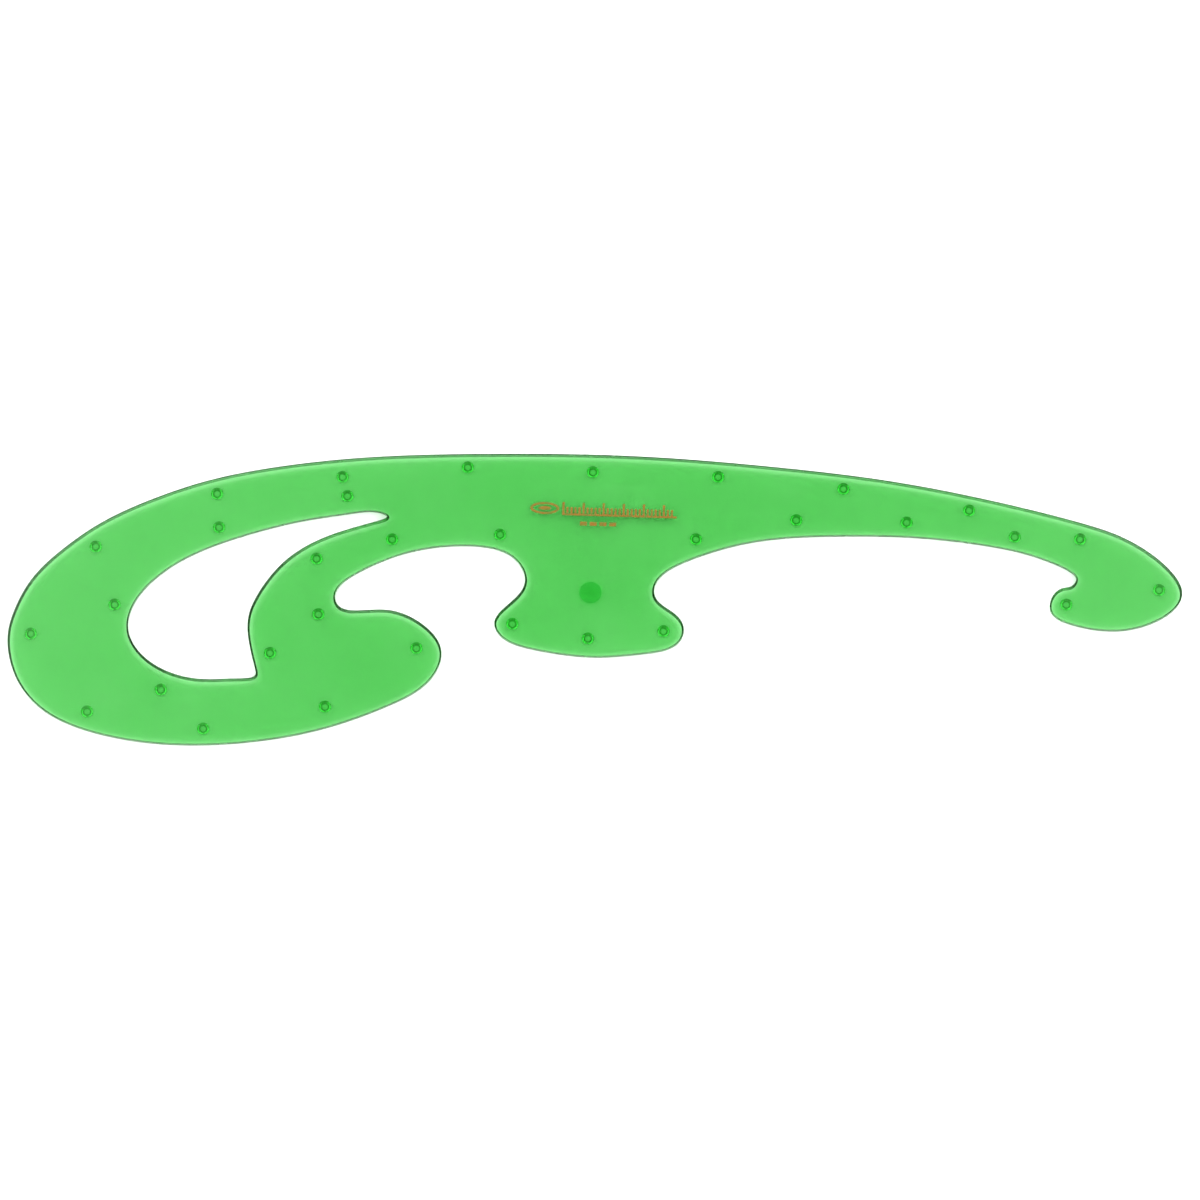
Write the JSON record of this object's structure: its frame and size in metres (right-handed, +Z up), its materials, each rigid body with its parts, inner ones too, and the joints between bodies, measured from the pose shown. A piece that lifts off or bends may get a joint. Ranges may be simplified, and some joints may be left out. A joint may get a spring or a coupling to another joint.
{
  "type": "french curve",
  "caption": "Flat see-through plastic drawing template with a long convex back, three curled lobes and a teardrop window.",
  "frame": {"origin": "middle of the bounding box, on the plane that the pips stand on", "axes": "+X along the length towards the narrow tail, +Y across towards the long convex back, +Z up through the thickness"},
  "size_m": [0.233, 0.06, 0.0023],
  "materials": {
    "green_plastic": "gloss",
    "bronze_foil": "satin"
  },
  "bodies": {
    "root": {"curve_plate": "green_plastic", "foil_oval": "bronze_foil", "foil_oval_core": "bronze_foil", "foil_scale": "bronze_foil", "foil_dash_1": "bronze_foil", "foil_dash_2": "bronze_foil", "foil_dash_3": "bronze_foil", "foil_dash_4": "bronze_foil"}
  },
  "joints": []
}
